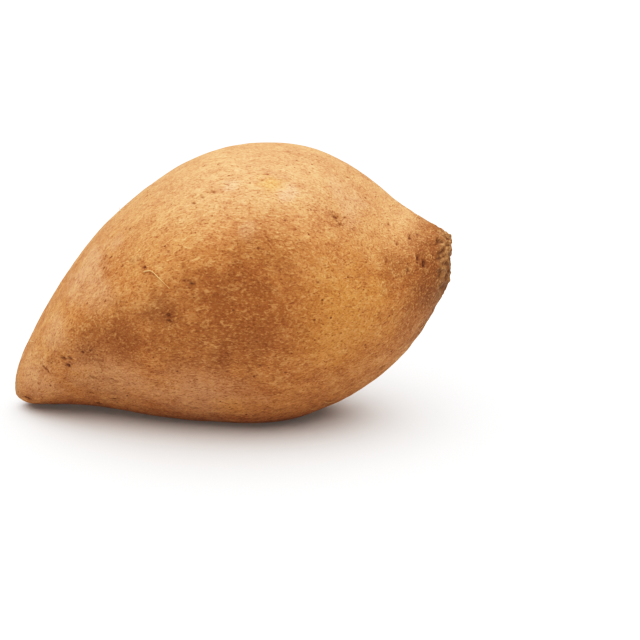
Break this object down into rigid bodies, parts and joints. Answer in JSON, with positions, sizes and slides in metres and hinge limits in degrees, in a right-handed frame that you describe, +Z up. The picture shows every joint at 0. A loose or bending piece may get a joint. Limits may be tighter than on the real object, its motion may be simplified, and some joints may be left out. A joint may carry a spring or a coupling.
{
  "type": "sweet potato",
  "caption": "Whole plump sweet potato root with a drooping tail and a raised, broken stem end, lying on a small flat spot of its belly.",
  "frame": {"origin": "on the resting surface, under the middle of the root's box", "axes": "+X along the root from its tail to its stem end, +Z up, -Y towards the side that the picture shows"},
  "size_m": [0.145, 0.0888, 0.09],
  "materials": {
    "skin": "matt, thin corky root skin"
  },
  "bodies": {
    "root": {"sweet_potato": "skin"}
  },
  "joints": []
}
